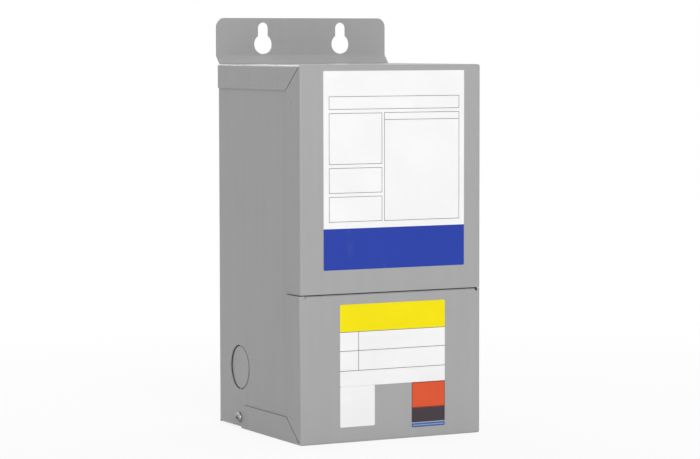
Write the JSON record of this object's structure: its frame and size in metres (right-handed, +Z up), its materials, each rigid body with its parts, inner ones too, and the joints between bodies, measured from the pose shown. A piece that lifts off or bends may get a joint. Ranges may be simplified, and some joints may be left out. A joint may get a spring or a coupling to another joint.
{
  "type": "wall-mounted enclosed step-up transformer",
  "caption": "Upright box-shaped dry transformer in a folded grey steel case with a two-part front, a hanging flange with keyholes, side knockouts and plain stickers.",
  "frame": {"origin": "middle of the footprint, on the surface that the transformer stands on; front to back it is halfway between the stickers on the front and the back of the hanging flange", "axes": "+Z up, front cover faces -Y, hanging flange faces the wall at +Y, +X to the right of a viewer who stands in front"},
  "size_m": [0.135, 0.1294, 0.2705],
  "materials": {
    "case_paint": "semi-gloss light grey enamel",
    "screw_steel": "zinc-plated",
    "potting": "matt black filled resin",
    "sticker_white": "printed polyester film",
    "sticker_blue": "printed polyester film",
    "sticker_yellow": "printed polyester film",
    "badge_orange": "printed polyester film",
    "badge_charcoal": "printed polyester film",
    "badge_blue": "printed polyester film"
  },
  "bodies": {
    "root": {"back_panel": "case_paint", "left_side_panel": "case_paint", "right_side_panel": "case_paint", "base_panel": "case_paint", "upper_cover": "case_paint", "lower_cover": "case_paint", "potted_core": "potting", "left_knockout": "case_paint", "right_knockout": "case_paint", "left_cover_screw": "screw_steel", "right_cover_screw": "screw_steel", "rating_sticker": "sticker_white", "rating_sticker_band": "sticker_blue", "caution_sticker": "sticker_white", "caution_sticker_header": "sticker_yellow", "plain_sticker": "sticker_white", "badge_sticker_panel": "badge_orange", "badge_sticker_field": "badge_charcoal", "badge_sticker_strip": "badge_blue"}
  },
  "joints": []
}
